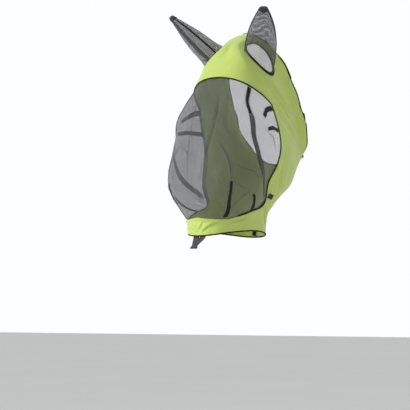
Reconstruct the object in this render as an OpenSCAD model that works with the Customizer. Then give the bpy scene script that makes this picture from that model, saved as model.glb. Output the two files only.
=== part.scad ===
// Pull-on stretch fly mask for a full-size horse: a fabric hood with a domed, darted mesh face and
// mesh ears. +Z is up, the horse faces -Y and its left side is +X. The origin is on the poll,
// midway between the ears. Millimetres.

/* [Hood] */
// Drop from the poll to the nose edge
hood_drop = 470; // [420:5:520]
// Forward reach of the face from the poll
face_reach = 190; // [165:5:215]
// Backward reach of the throat from the poll
throat_reach = 220; // [190:5:250]
// Width of the hood across the eyes
head_width = 200; // [180:5:225]
// Thickness of the stretch fabric
fabric = 1.2; // [0.8:0.1:1.6]

/* [Face mesh] */
// Thickness of the mesh
mesh = 0.9; // [0.6:0.1:1.2]
// Stand-off of the mesh in front of each eye
eye_dome = 20; // [8:1:28]
// Stand-off of the mesh beside the nose
cheek_dome = 34; // [16:1:40]
// Width of the tape sewn behind each dart
dart_width = 10; // [6:1:12]
// Width of the long seam tape on each side of the face
seam_width = 12; // [8:1:14]

/* [Ears] */
// Length of an ear sleeve from the crown to its tip
ear_length = 156; // [130:2:170]
// Widest part of an ear sleeve
ear_width = 76; // [62:2:82]
// Depth of an ear sleeve near its base
ear_depth = 56; // [40:2:64]

/* [Trims] */
// Width of the binding around the mesh opening
binding_width = 5; // [4:1:8]
// Width of the webbing in the nose loop
webbing_width = 16; // [12:1:20]
// Length of the sewn-in side label
label_length = 12; // [10:1:20]

/* [Hidden] */

LIME = [0.68, 0.80, 0.25];
BLACK = [0.07, 0.07, 0.08];
MESH_GREY = [0.22, 0.23, 0.24];
LEFT = 1;
RIGHT = -1;

// The hood is a tube around the head. Section 0 is the neck edge and section 8 is the nose edge.
// Each row holds, as shares of the driving sizes: front reach, front drop, back reach, back drop,
// half width; then the squareness, the taper from back to front, and the sag of the edge in mm.
SECTIONS = [
    [-0.22, -0.01, 1.00, 0.62, 0.90, 2.3, -0.14, 0],
    [ 0.00,  0.02, 0.96, 0.68, 0.85, 2.2, -0.06, 0],
    [ 0.25,  0.10, 0.88, 0.73, 0.91, 2.3,  0.02, 0],
    [ 0.51,  0.24, 0.76, 0.77, 1.00, 2.4,  0.08, 0],
    [ 0.72,  0.42, 0.62, 0.81, 1.00, 2.3,  0.14, 0],
    [ 0.86,  0.61, 0.50, 0.85, 0.88, 2.2,  0.10, 0],
    [ 0.93,  0.79, 0.42, 0.90, 0.76, 2.2,  0.00, 1],
    [ 0.93,  0.91, 0.37, 0.95, 0.69, 2.2,  0.00, 4],
    [ 0.88,  1.00, 0.36, 0.99, 0.66, 2.2,  0.00, 6]
];
NOSE_EDGE = 8;

// Seam lines on the left half of the hood, as [section, angle]. Angle 0 is the middle of the face
// and 180 is under the jaw.
BROW = [[3, 0], [3, 22], [2.93, 45], [2.76, 66]];
SIDE = [[2.76, 66], [3.35, 90], [4.1, 97], [5, 97], [5.95, 103], [6.75, 76]];
CHIN = [[7.05, 0], [7.15, 26], [7.15, 52], [6.75, 76]];
JAW_SEAM = 180;
SEAM_GAP = 0.4;
// Facets around the hood.
HOOD_STEPS = 60;

// Ear openings: centre and half size in [section, angle].
EAR_AT = [1.38, 40];
EAR_HALF = [0.6, 18];
// Direction of the left ear sleeve, and the way its front faces.
EAR_LINE = [62, -92, 88];
EAR_YAW = 37;
// Half width and half depth along the sleeve, from the crown to the tip, as shares.
EAR_TAPER = [[1, 1], [0.98, 0.94], [0.9, 0.82], [0.77, 0.64], [0.54, 0.42], [0.22, 0.16]];
// The sleeve turns about a line this far up it.
EAR_HINGE = 0.16;
EAR_CLEAR = 1;
EAR_GAP_FRONT = 9.5;
EAR_GAP_BACK = 16;
EAR_TOP = 0.94;
SLEEVE = 0.9;

// ---------- curves and surfaces ----------

function unit(v) = v / norm(v);

function row(p, i) =
    i < 0 ? 2 * p[0] - p[1]
    : i >= len(p) ? 2 * p[len(p) - 1] - p[len(p) - 2]
    : p[i];

// Smooth curve through a list of points, from x = 0 to x = len(p) - 1.
function spline(p, x) =
    let (i = min(floor(max(x, 0)), len(p) - 2), f = x - i,
         a = row(p, i - 1), b = p[i], c = p[i + 1], d = row(p, i + 2))
    0.5 * (2 * b + (c - a) * f + (2 * a - 5 * b + 4 * c - d) * f * f
           + (3 * b - a - 3 * c + d) * f * f * f);

// The same curve with x from 0 to 1.
function along(p, x) = spline(p, x * (len(p) - 1));

// A point of the hood's inner face.
function skin(t, angle) =
    let (s = spline(SECTIONS, t), c = cos(angle), n = sin(angle),
         r = pow(pow(abs(c), s[5]) + pow(abs(n), s[5]), -1 / s[5]),
         front = [0, -s[0] * face_reach, -s[1] * hood_drop],
         back = [0, s[2] * throat_reach, -s[3] * hood_drop],
         half_width = s[4] * head_width / 2 * (1 + s[6] * r * c))
    (front + back) / 2 + (front - back) / 2 * r * c
    + [half_width * r * n, 0, -s[7] * cos(2 * angle)];

// The outward direction there.
function outward(t, angle) =
    let (e = 0.03,
         down = skin(min(t + e, NOSE_EDGE), angle) - skin(max(t - e, 0), angle),
         round = skin(t, angle + 1) - skin(t, angle - 1))
    unit(cross(down, round));

function lifted(t, angle, h) = skin(t, angle) + h * outward(t, angle);

// A patch between four seam lines: a is its start edge, b its end edge, both along u, and c and d
// are the edges at u = 0 and u = 1, both along v.
function patch(a, b, c, d, u, v) =
    (1 - v) * a + v * b + (1 - u) * c + u * d;
function coons(a0, a1, b0, b1, a, b, c, d, u, v) =
    patch(a, b, c, d, u, v)
    - ((1 - u) * (1 - v) * a0 + u * (1 - v) * a1 + (1 - u) * v * b0 + u * v * b1);

// Left half of the mesh opening: u runs from the middle to the cheek, v from the brow to the chin.
function opening(u, v) =
    coons(BROW[0], BROW[3], CHIN[0], CHIN[3],
          along(BROW, u), along(CHIN, u), BROW[0] + (CHIN[0] - BROW[0]) * v, along(SIDE, v), u, v);

function bump(x, at, spread) = exp(-pow((x - at) / spread, 2));
function inside(x) = pow(1 - pow(x, 6), 2);
function dome(u, v) =
    inside(u) * inside(2 * v - 1)
    * (8 + eye_dome * bump(u, 0.75, 0.3) * bump(v, 0.28, 0.16)
       + cheek_dome * bump(u, 0.6, 0.5) * bump(v, 0.66, 0.24));

// A point h outside the mesh.
function on_mesh(side, u, v, h) =
    let (p = opening(u, v)) lifted(p[0], side * p[1], dome(u, v) + h);

// The seam between the centre and the eye mesh runs from the brow to the side edge, as [v, u].
SEAM_END = 0.7;
FACE_SEAM = [[0, 0.6], [0.14, 0.475], [0.28, 0.505], [0.42, 0.59], [0.56, 0.76], [0.7, 0.95]];
function seam_u(v) = along(FACE_SEAM, v / SEAM_END)[1];

// ---------- solids from grids ----------

function grid_faces(nu, nv) =
    [for (j = [0 : nv - 1], i = [0 : nu - 1])
        let (a = j * (nu + 1) + i, b = a + 1, c = b + nu + 1, d = a + nu + 1)
        each [[a, c, b], [a, d, c]]];

function grid_rim(nu, nv) = concat(
    [for (i = [0 : nu - 1]) i],
    [for (j = [0 : nv - 1]) j * (nu + 1) + nu],
    [for (i = [nu : -1 : 1]) nv * (nu + 1) + i],
    [for (j = [nv : -1 : 1]) j * (nu + 1)]);

function flipped(faces) = [for (f = faces) [f[2], f[1], f[0]]];

// A closed sheet between at(u, v, 0) and at(u, v, thick). lefthanded turns its faces round.
module sheet(at, us, vs, thick, lefthanded = false) {
    nu = len(us) - 1;
    nv = len(vs) - 1;
    n = (nu + 1) * (nv + 1);
    points = [for (h = [0, thick], v = vs, u = us) at(u, v, h)];
    lower = grid_faces(nu, nv);
    upper = [for (f = flipped(lower)) [f[0] + n, f[1] + n, f[2] + n]];
    rim = grid_rim(nu, nv);
    walls = [for (k = [0 : len(rim) - 1])
        let (a = rim[k], b = rim[(k + 1) % len(rim)])
        each [[a, b + n, a + n], [a, b, b + n]]];
    faces = concat(lower, upper, walls);
    polyhedron(points, lefthanded ? flipped(faces) : faces);
}

// A solid through a list of rings with the same number of points each.
module loft(rings, closed = false, lefthanded = false) {
    m = len(rings[0]);
    n = len(rings);
    skin_faces = [for (k = [0 : n - (closed ? 1 : 2)], i = [0 : m - 1])
        let (a = k * m + i, b = k * m + (i + 1) % m,
             c = ((k + 1) % n) * m + (i + 1) % m, d = ((k + 1) % n) * m + i)
        each [[a, c, b], [a, d, c]]];
    caps = closed ? [] : concat(
        [for (i = [1 : m - 2]) [0, i, i + 1]],
        [for (i = [1 : m - 2]) [(n - 1) * m, (n - 1) * m + i + 1, (n - 1) * m + i]]);
    faces = concat(skin_faces, caps);
    polyhedron([for (r = rings) each r], lefthanded ? flipped(faces) : faces);
}

// A section of [across, out] points carried along a line of points, with the outward direction at each.
module sweep(line, outs, section, closed = false, lefthanded = false) {
    n = len(line);
    rings = [for (i = [0 : n - 1])
        let (before = line[closed ? (i + n - 1) % n : max(i - 1, 0)],
             after = line[closed ? (i + 1) % n : min(i + 1, n - 1)],
             forward = unit(after - before),
             across = unit(cross(outs[i], forward)),
             out = cross(forward, across))
        [for (p = section) line[i] + across * p[0] + out * p[1]]];
    loft(rings, closed, lefthanded);
}

function strip(width, low, high) =
    [[-width / 2, low], [width / 2, low], [width / 2, high], [-width / 2, high]];

function steps(from, to, count) = [for (i = [0 : count]) from + (to - from) * i / count];

// ---------- hood panels ----------

// The hole that an ear sleeve is sewn into, as a point of its edge.
function ear_hole(side, angle, h, grow = 1) =
    lifted(EAR_AT[0] + EAR_HALF[0] * grow * cos(angle),
           side * (EAR_AT[1] + EAR_HALF[1] * grow * sin(angle)), h);

module ear_plug(side) {
    loft([for (h = [-9, 9]) [for (a = [0 : 15 : 345]) ear_hole(side, a, h)]], lefthanded = side == RIGHT);
}

module opening_plug(side) {
    sheet(function(u, v, h) let (p = opening(u, v)) lifted(p[0], side * p[1], h - 6),
          steps(side == LEFT ? 0 : -0.01, 1, 12), steps(0, 1, 20), 14, lefthanded = side == RIGHT);
}

// The hood is cut from one piece of fabric, joined under the jaw.
module hood_shell() {
    color(LIME) difference() {
        e = SEAM_GAP / 2;
        sheet(function(u, v, h) lifted(v, u, h),
              steps(e - JAW_SEAM, JAW_SEAM - e, HOOD_STEPS), steps(0, NOSE_EDGE, 22), fabric);
        opening_plug(LEFT);
        opening_plug(RIGHT);
        ear_plug(LEFT);
        ear_plug(RIGHT);
    }
}

module jaw_seam_tape() {
    ts = steps(0.3, NOSE_EDGE - 0.4, 20);
    color(BLACK)
        sweep([for (t = ts) skin(t, JAW_SEAM)], [for (t = ts) outward(t, JAW_SEAM)],
              strip(9, -2.1, -1.3));
}

// ---------- face mesh and its tapes ----------

MESH_GAP = 0.8;
function gap_u() = MESH_GAP / SPAN[0];

module eye_mesh(side) {
    color(MESH_GREY)
        sheet(function(x, v, h) let (a = seam_u(v) + gap_u()) on_mesh(side, a + (0.998 - a) * x, v, h),
              steps(0, 1, 8), steps(0.001, SEAM_END, 18), mesh, lefthanded = side == RIGHT);
}

function centre_edge(v) = v <= SEAM_END ? seam_u(v) - gap_u() : 0.998;

module centre_face_mesh() {
    vs = concat(steps(0.001, SEAM_END, 18), steps(SEAM_END + 0.01, 0.999, 8));
    color(MESH_GREY)
        sheet(function(x, v, h) on_mesh(x < 0 ? RIGHT : LEFT, abs(x) * centre_edge(v), v, h),
              steps(-1, 1, 28), vs, mesh);
}

// Rough size of half the opening, to turn a tape's width into [u, v].
SPAN = [240, 350];

// A point across a tape: x runs from its start to its end and w is the distance from its middle.
function on_tape(side, path, x, w, h) =
    let (p = along(path, x), step = along(path, x + 0.02) - along(path, x - 0.02),
         d = unit([step[0] * SPAN[0], step[1] * SPAN[1]]))
    on_mesh(side, p[0] - d[1] * w / SPAN[0], p[1] + d[0] * w / SPAN[1], h);

// A tape along [u, v] points of the mesh, from low to high above the mesh's inner face.
module mesh_tape(side, path, count, width, low, high) {
    color(BLACK)
        sheet(function(x, w, h) on_tape(side, path, x, w, low + h),
              steps(0, 1, count), steps(-width / 2, width / 2, 2), high - low, lefthanded = side == RIGHT);
}

BEHIND = [-3.2, -2.4];
BROW_DART = [for (v = [0.02, 0.12, 0.22]) [seam_u(v), v]];
TEMPLE_DART = [[0.96, 0.03], [0.77, 0.095], [0.63, 0.18]];
CHEEK_DART = [[0.96, 0.14], [0.77, 0.2], [0.65, 0.255]];
LOWER_DART = [[0.96, 0.92], [0.73, 0.81], [0.635, 0.7]];
NOSE_DART = [[0.55, 0.955], [0.42, 0.8], [0.4, 0.655]];

module dart(side, path) mesh_tape(side, path, 5, dart_width, BEHIND[0], BEHIND[1]);

// The two meshes overlap along the seam. This is the turned allowance behind it.
module face_seam(side) {
    path = [for (v = steps(0.25, 0.64, 5)) [seam_u(v), v]];
    mesh_tape(side, path, 14, seam_width, BEHIND[0], BEHIND[1]);
}

// ---------- bindings ----------

// The whole edge of the mesh opening, round from the middle of the brow.
OPENING_EDGE = concat(
    [for (x = steps(0, 1, 8)) along(BROW, x)],
    [for (x = steps(0.07, 1, 13)) along(SIDE, x)],
    [for (x = steps(0.9, 0, 9)) along(CHIN, x)]);
function mirrored(p) = [p[0], -p[1]];

module opening_binding() {
    half = OPENING_EDGE;
    last = len(half) - 1;
    edge = concat(half, [for (i = [last - 1 : -1 : 1]) mirrored(half[i])]);
    color(BLACK)
        sweep([for (p = edge) skin(p[0], p[1])], [for (p = edge) outward(p[0], p[1])],
              strip(binding_width, fabric + 0.8, fabric + 1.8), closed = true);
}

// Binding folded over a free edge of the hood: away is -1 at the neck edge and 1 at the nose edge.
module edge_binding(t, away) {
    turns = [for (i = [0 : HOOD_STEPS - 1]) 360 * i / HOOD_STEPS];
    clear = 0.9;
    wall = 0.8;
    grip = 6;
    top = fabric + clear;
    section = [
        [-grip, top + wall], [clear + wall, top + wall], [clear + wall, -clear - wall],
        [-grip, -clear - wall], [-grip, -clear], [clear, -clear], [clear, top], [-grip, top]
    ];
    color(BLACK)
        sweep([for (a = turns) skin(t, a)], [for (a = turns) outward(t, a)],
              [for (p = section) [-away * p[0], p[1]]], closed = true, lefthanded = away < 0);
}

// ---------- ears ----------

function ear_axis(side) = unit([side * EAR_LINE[0], EAR_LINE[1], EAR_LINE[2]]);
function ear_root(side) =
    (ear_hole(side, 0, 0) + ear_hole(side, 90, 0) + ear_hole(side, 180, 0) + ear_hole(side, 270, 0)) / 4;
// The way the sleeve's front faces, and the way across it, towards its outer edge.
function ear_front(side) =
    let (a = ear_axis(side), n = [side * sin(EAR_YAW), -cos(EAR_YAW), 0]) unit(n - a * (n * a));
function ear_across(side) = side * cross(ear_axis(side), ear_front(side));
function ear_centre(side, v) = ear_root(side) + ear_axis(side) * ear_length * v;

function ear_half_width(v) = ear_width / 2 * along(EAR_TAPER, v)[0];
function ear_half_depth(v) = ear_depth / 2 * along(EAR_TAPER, v)[1];

// A point of the sleeve's inside. Turn 0 is the outer edge, 90 the front, 180 the inner edge.
function sleeve_skin(side, turn, v) =
    let (blend = v < 0.3 ? pow(1 - v / 0.3, 1.5) : 0,
         ring = ear_centre(side, v) + ear_across(side) * ear_half_width(v) * cos(turn)
             + ear_front(side) * ear_half_depth(v) * sin(turn),
         edge = ear_hole(side, 90 + EAR_YAW - turn, fabric + 0.5, 1.03))
    blend * edge + (1 - blend) * ring;

// The same, h outside it.
function sleeve(side, turn, v, h) =
    let (round = sleeve_skin(side, turn + 2, v) - sleeve_skin(side, turn - 2, v),
         up = sleeve_skin(side, turn, min(v + 0.01, 1)) - sleeve_skin(side, turn, max(v - 0.01, 0)))
    sleeve_skin(side, turn, v) + side * h * unit(cross(up, round));

// Height of the sleeve's cut above the hinge line. It opens towards the front and the back, so
// that the ear can tilt.
function ear_cut(turn) =
    EAR_HINGE + (EAR_CLEAR + (turn < 180 ? EAR_GAP_FRONT : EAR_GAP_BACK) * abs(sin(turn))) / ear_length;

module ear_base_band(side) {
    turns = [for (a = [0 : 12 : 348]) a];
    vs = steps(0, EAR_HINGE, 3);
    rings = [for (a = turns) concat(
        [for (v = vs) sleeve(side, a, v, SLEEVE)],
        [for (i = [len(vs) - 1 : -1 : 0]) sleeve(side, a, vs[i], 0)])];
    color(BLACK) loft(rings, closed = true, lefthanded = side == RIGHT);
}

module ear_mesh(side, from, to) {
    edge = 3;
    color(MESH_GREY)
        sheet(function(u, v, h) let (turn = from + edge + (to - from - 2 * edge) * u, low = ear_cut(turn))
                  sleeve(side, turn, low + (EAR_TOP - low) * v, h),
              steps(0, 1, 10), steps(0, 1, 9), SLEEVE, lefthanded = side == RIGHT);
}

module ear_edge_binding(side) {
    color(BLACK) for (turn = [0, 180]) {
        vs = steps(EAR_HINGE + 0.03, EAR_TOP - 0.01, 14);
        sweep([for (v = vs) sleeve(side, turn, v, SLEEVE)],
              [for (v = vs) ear_across(side) * cos(turn)],
              strip(6, 0.4, 1.4));
    }
}

module ear_tip_cap(side) {
    turns = [for (a = [0 : 20 : 340]) a];
    tip = [[EAR_TOP + 0.004, 1.6], [0.98, 1.2], [0.995, -1]];
    color(BLACK)
        loft([for (p = tip) [for (a = turns) sleeve(side, a, p[0], p[1])]], lefthanded = side == LEFT);
}

// ---------- label and webbing loop ----------

LABEL_AT = 0.7;
LABEL_WIDTH = 12;
LABEL_LEAN = 55;
function label_root() = let (p = along(SIDE, LABEL_AT)) lifted(p[0], p[1], fabric + 2.7);
function label_axis() =
    let (p = along(SIDE, LABEL_AT + 0.03), q = along(SIDE, LABEL_AT - 0.03))
    unit(skin(p[0], p[1]) - skin(q[0], q[1]));

module side_label() {
    p = along(SIDE, LABEL_AT);
    axis = label_axis();
    rear = unit(cross(outward(p[0], p[1]), axis));
    lie = rear * cos(LABEL_LEAN) + cross(axis, rear) * sin(LABEL_LEAN);
    thick = cross(lie, axis);
    root = label_root();
    section = [[-LABEL_WIDTH / 2, 0], [LABEL_WIDTH / 2, 0], [LABEL_WIDTH / 2, 1], [-LABEL_WIDTH / 2, 1]];
    color(BLACK)
        loft([for (s = [0.6, label_length]) [for (q = section) root + lie * s + axis * q[0] + thick * q[1]]]);
}

// The loop is webbing folded back on itself. Its ends are sewn inside the nose band, and it hangs
// below the band's binding.
LOOP_ANGLES = [6, -10];
LOOP_DROP = 22;
LOOP_SWAY = 15;
LOOP_BELOW = 4;
WEBBING = 1.4;
LOOP_MIDDLE = (LOOP_ANGLES[0] + LOOP_ANGLES[1]) / 2;
function loop_out() = let (o = outward(NOSE_EDGE, LOOP_MIDDLE)) unit([o[0], o[1], 0]);
function loop_side() = cross(loop_out(), [0, 0, 1]);
function loop_root(k) = skin(NOSE_EDGE, LOOP_ANGLES[k]) - loop_out() * 2 - [0, 0, LOOP_BELOW];
function loop_pivot() = (loop_root(0) + loop_root(1)) / 2 + [0, 0, 1];

module webbing(line, count, from = 0, to = 1) {
    path = [for (x = steps(from, to, count)) along(line, x)];
    last = len(path) - 1;
    rings = [for (i = [0 : last])
        let (forward = unit(path[min(i + 1, last)] - path[max(i - 1, 0)]),
             wide = loop_side() * webbing_width / 2,
             thick = unit(cross(forward, wide)) * WEBBING / 2)
        [path[i] - wide - thick, path[i] + wide - thick, path[i] + wide + thick, path[i] - wide + thick]];
    color(BLACK) loft(rings);
}

module webbing_loop() {
    out = loop_out();
    low = loop_pivot() - [0, 0, LOOP_DROP] + loop_side() * LOOP_SWAY;
    a = loop_root(0) + out * 0.9;
    b = loop_root(1) - out * 0.9;
    webbing([a, (a + low) / 2 + out * 1.2, low + out * 1.6, low - [0, 0, 2.4],
             low - out * 1.6, (b + low) / 2 - out * 1.2, b], 14);
}

module webbing_loop_ends() {
    for (k = [0, 1]) {
        low = skin(NOSE_EDGE - 0.14, LOOP_ANGLES[k]);
        high = skin(NOSE_EDGE - 0.5, LOOP_ANGLES[k]);
        shift = loop_out() * (k == 0 ? -5 : -7);
        webbing([low + shift, high + shift], 1);
    }
}

// ---------- nodes ----------

hood_shell();
jaw_seam_tape();
centre_face_mesh();
eye_mesh(LEFT);  // left_eye_mesh
eye_mesh(RIGHT);  // right_eye_mesh
face_seam(LEFT);  // left_face_seam
face_seam(RIGHT);  // right_face_seam
dart(LEFT, BROW_DART);  // left_brow_dart
dart(LEFT, TEMPLE_DART);  // left_temple_dart
dart(LEFT, CHEEK_DART);  // left_cheek_dart
dart(LEFT, LOWER_DART);  // left_lower_dart
dart(LEFT, NOSE_DART);  // left_nose_dart
dart(RIGHT, BROW_DART);  // right_brow_dart
dart(RIGHT, TEMPLE_DART);  // right_temple_dart
dart(RIGHT, CHEEK_DART);  // right_cheek_dart
dart(RIGHT, LOWER_DART);  // right_lower_dart
dart(RIGHT, NOSE_DART);  // right_nose_dart
opening_binding();
edge_binding(0, -1);  // neck_binding
edge_binding(NOSE_EDGE, 1);  // nose_binding
ear_base_band(LEFT);  // left_ear_base_band
ear_base_band(RIGHT);  // right_ear_base_band
ear_mesh(LEFT, 0, 180);  // left_ear_front_mesh
ear_mesh(LEFT, 180, 360);  // left_ear_back_mesh
ear_edge_binding(LEFT);  // left_ear_edge_binding
ear_tip_cap(LEFT);  // left_ear_tip_cap
ear_mesh(RIGHT, 0, 180);  // right_ear_front_mesh
ear_mesh(RIGHT, 180, 360);  // right_ear_back_mesh
ear_edge_binding(RIGHT);  // right_ear_edge_binding
ear_tip_cap(RIGHT);  // right_ear_tip_cap
side_label();
webbing_loop_ends();
webbing_loop();
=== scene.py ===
"""Visual model of a pull-on stretch fly mask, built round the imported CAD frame.

Metres, +Z up, origin on the poll. The horse faces -Y and its left side is +X. The driving sizes and
seam lines are the ones of the CAD part, so every visual piece lies on its CAD node.
"""
import math

import bpy
import numpy as np
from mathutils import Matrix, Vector, geometry


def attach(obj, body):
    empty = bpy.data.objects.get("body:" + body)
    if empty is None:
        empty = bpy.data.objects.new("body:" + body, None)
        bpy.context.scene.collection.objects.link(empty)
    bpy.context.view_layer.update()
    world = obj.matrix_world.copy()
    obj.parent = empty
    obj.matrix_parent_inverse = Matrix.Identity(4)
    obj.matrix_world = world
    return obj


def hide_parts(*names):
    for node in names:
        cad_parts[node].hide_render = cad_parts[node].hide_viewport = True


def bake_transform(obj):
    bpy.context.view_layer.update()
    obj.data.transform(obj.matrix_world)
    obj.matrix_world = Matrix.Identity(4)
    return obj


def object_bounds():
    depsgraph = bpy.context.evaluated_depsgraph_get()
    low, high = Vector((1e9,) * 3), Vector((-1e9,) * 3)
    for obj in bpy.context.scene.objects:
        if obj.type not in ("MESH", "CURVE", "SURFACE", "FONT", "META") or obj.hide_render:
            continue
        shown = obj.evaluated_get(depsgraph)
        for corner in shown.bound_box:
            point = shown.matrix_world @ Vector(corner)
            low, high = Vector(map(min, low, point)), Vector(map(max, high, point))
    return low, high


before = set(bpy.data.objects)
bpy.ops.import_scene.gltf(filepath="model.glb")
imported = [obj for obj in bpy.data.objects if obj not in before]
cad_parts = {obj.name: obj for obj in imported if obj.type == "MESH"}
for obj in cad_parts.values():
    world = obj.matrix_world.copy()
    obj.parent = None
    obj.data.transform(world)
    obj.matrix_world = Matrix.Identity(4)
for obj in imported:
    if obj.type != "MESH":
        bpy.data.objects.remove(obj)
cad_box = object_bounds()

MM = 0.001
LEFT, RIGHT = 1, -1
SIDES = (("left", LEFT), ("right", RIGHT))

# ---------- driving sizes, as in the CAD part ----------

HOOD_DROP = 0.470
FACE_REACH = 0.190
THROAT_REACH = 0.220
HEAD_WIDTH = 0.200
FABRIC = 0.0012
EYE_DOME = 0.020
CHEEK_DOME = 0.034
EDGE_DOME = 0.008
EAR_LENGTH = 0.156
EAR_WIDTH = 0.076
EAR_DEPTH = 0.056
SEAM_WIDTH = 0.012
WEBBING_WIDTH = 0.016
LABEL_LENGTH = 0.012

# Each section's front reach, front drop, back reach, back drop and half width, as shares of the
# sizes above, then its squareness, its taper and its edge sag in mm.
SECTIONS = [
    [-0.22, -0.01, 1.00, 0.62, 0.90, 2.3, -0.14, 0],
    [0.00, 0.02, 0.96, 0.68, 0.85, 2.2, -0.06, 0],
    [0.25, 0.10, 0.88, 0.73, 0.91, 2.3, 0.02, 0],
    [0.51, 0.24, 0.76, 0.77, 1.00, 2.4, 0.08, 0],
    [0.72, 0.42, 0.62, 0.81, 1.00, 2.3, 0.14, 0],
    [0.86, 0.61, 0.50, 0.85, 0.88, 2.2, 0.10, 0],
    [0.93, 0.79, 0.42, 0.90, 0.76, 2.2, 0.00, 1],
    [0.93, 0.91, 0.37, 0.95, 0.69, 2.2, 0.00, 4],
    [0.88, 1.00, 0.36, 0.99, 0.66, 2.2, 0.00, 6],
]
NOSE_EDGE = 8
# The left half of the mesh opening's edge, as [section, angle] points.
BROW = [[3, 0], [3, 22], [2.93, 45], [2.76, 66]]
SIDE = [[2.76, 66], [3.35, 90], [4.1, 97], [5, 97], [5.95, 103], [6.75, 76]]
CHIN = [[7.05, 0], [7.15, 26], [7.15, 52], [6.75, 76]]

# Ear hole: middle and half sizes in sections and degrees. Sleeve: line, turn, and its taper.
EAR_AT = [1.38, 40]
EAR_HALF = [0.6, 18]
EAR_LINE = [62, -92, 88]
EAR_YAW = 37
EAR_TAPER = [[1, 1], [0.98, 0.94], [0.9, 0.82], [0.77, 0.64], [0.54, 0.42], [0.22, 0.16]]

# Metres for one unit across and one down the mesh, and the long seam's path and lower end there.
SPAN = np.array([0.240, 0.350])
SEAM_END = 0.7
FACE_SEAM = [[0, 0.6], [0.14, 0.475], [0.28, 0.505], [0.42, 0.59], [0.56, 0.76], [0.7, 0.95]]

# ---------- curves and surfaces ----------


def spline(rows, x):
    """Smooth curve through rows, from x = 0 to x = len(rows) - 1."""
    p = np.asarray(rows, float)
    p = np.vstack([2 * p[0] - p[1], p, 2 * p[-1] - p[-2]])
    x = np.asarray(x, float)
    i = np.clip(np.floor(x), 0, len(rows) - 2).astype(int)
    f = (x - i)[..., None]
    a, b, c, d = p[i], p[i + 1], p[i + 2], p[i + 3]
    return 0.5 * (2 * b + (c - a) * f + (2 * a - 5 * b + 4 * c - d) * f ** 2
                  + (3 * b - a - 3 * c + d) * f ** 3)


def along(rows, x):
    """The same curve with x from 0 to 1."""
    return spline(rows, np.asarray(x, float) * (len(rows) - 1))


def grid_of(*values):
    """Numbers or arrays as float arrays of one shape."""
    return np.broadcast_arrays(*(np.asarray(v, float) for v in values))


def unit(v):
    return v / np.maximum(np.linalg.norm(v, axis=-1, keepdims=True), 1e-12)


def smooth(x, low, high):
    """0 below low, 1 above high, smooth between."""
    f = np.clip((x - low) / (high - low), 0, 1)
    return f * f * (3 - 2 * f)


def bump(x, at, spread):
    """A bell curve of height 1."""
    return np.exp(-((x - at) / spread) ** 2)


def skin(t, angle):
    """A point of the hood's inner face: t is the section, angle 0 the middle of the face."""
    t, angle = grid_of(t, angle)
    s = spline(SECTIONS, t)
    c, n = np.cos(np.radians(angle)), np.sin(np.radians(angle))
    r = (np.abs(c) ** s[..., 5] + np.abs(n) ** s[..., 5]) ** (-1 / s[..., 5])
    none = np.zeros_like(c)
    front = np.stack([none, -s[..., 0] * FACE_REACH, -s[..., 1] * HOOD_DROP], -1)
    back = np.stack([none, s[..., 2] * THROAT_REACH, -s[..., 3] * HOOD_DROP], -1)
    half_width = s[..., 4] * HEAD_WIDTH / 2 * (1 + s[..., 6] * r * c)
    side = np.stack([half_width * r * n, none, -s[..., 7] * MM * np.cos(np.radians(2 * angle))], -1)
    return (front + back) / 2 + (front - back) / 2 * (r * c)[..., None] + side


def outward(t, angle):
    """Unit directions out of the hood's inner face."""
    e = 0.03
    down = skin(np.minimum(t + e, NOSE_EDGE), angle) - skin(np.maximum(t - e, 0), angle)
    around = skin(t, angle + 1) - skin(t, angle - 1)
    return unit(np.cross(down, around))


# ---------- folds of the stretch fabric ----------

# Metres for one section down the hood and for one degree round it, near enough for folds.
PACE = np.array([0.058, 0.0019])
# Folds on the left side: line of [section, angle] points, height of the ridge, its half width.
HOOD_FOLDS = [
    ([[2.2, 46], [2.25, 57], [2.15, 69], [1.95, 82], [1.7, 95]], 4.4 * MM, 5.0 * MM),
    ([[2.55, 50], [2.5, 66], [2.25, 84], [1.85, 100], [1.4, 112]], 2.4 * MM, 5.0 * MM),
    ([[2.9, 70], [2.8, 84], [2.45, 98], [2.0, 112]], 1.8 * MM, 5.5 * MM),
    ([[0.95, 63], [0.75, 75], [0.5, 88], [0.22, 100], [0.2, 112]], 3.0 * MM, 4.5 * MM),
    ([[0.9, 16], [1.7, 12], [2.15, 22], [2.5, 36]], 2.4 * MM, 8.0 * MM),
    ([[1.5, -3], [1.9, 0], [2.4, 6]], -1.6 * MM, 7.0 * MM),
    ([[0.5, 20], [1.0, 22], [1.5, 20]], -1.4 * MM, 6.0 * MM),
    ([[3.2, 110], [3.6, 116], [4.1, 124], [4.6, 136]], 1.8 * MM, 7.0 * MM),
    ([[3.6, 106], [4.05, 108], [4.55, 119], [5.2, 133]], -3.0 * MM, 4.5 * MM),
    ([[4.7, 103], [5.3, 112], [6.0, 128], [6.6, 146]], 2.2 * MM, 6.0 * MM),
    ([[5.6, 104], [6.1, 109], [6.6, 116], [7.2, 120]], -3.6 * MM, 4.0 * MM),
    ([[5.9, 116], [6.5, 122], [7.2, 126]], 2.0 * MM, 4.0 * MM),
    ([[7.84, 8], [7.74, 11], [7.56, 19], [7.4, 31], [7.3, 46]], -4.6 * MM, 3.6 * MM),
    ([[7.25, -14], [7.4, -9], [7.6, -4], [7.8, 2]], -2.0 * MM, 3.4 * MM),
    ([[7.8, 24], [7.65, 42], [7.4, 62], [7.1, 84]], 1.8 * MM, 5.0 * MM),
]
RIGHT_SHARE = 0.85
# Slow unevenness: waves round the hood, waves down it, phase and height.
SLACK = [(3, 1.1, 0.4, 0.6 * MM), (5, -1.7, 2.1, 0.45 * MM), (8, 2.3, 4.0, 0.32 * MM),
         (13, -2.9, 1.2, 0.2 * MM)]


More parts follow.
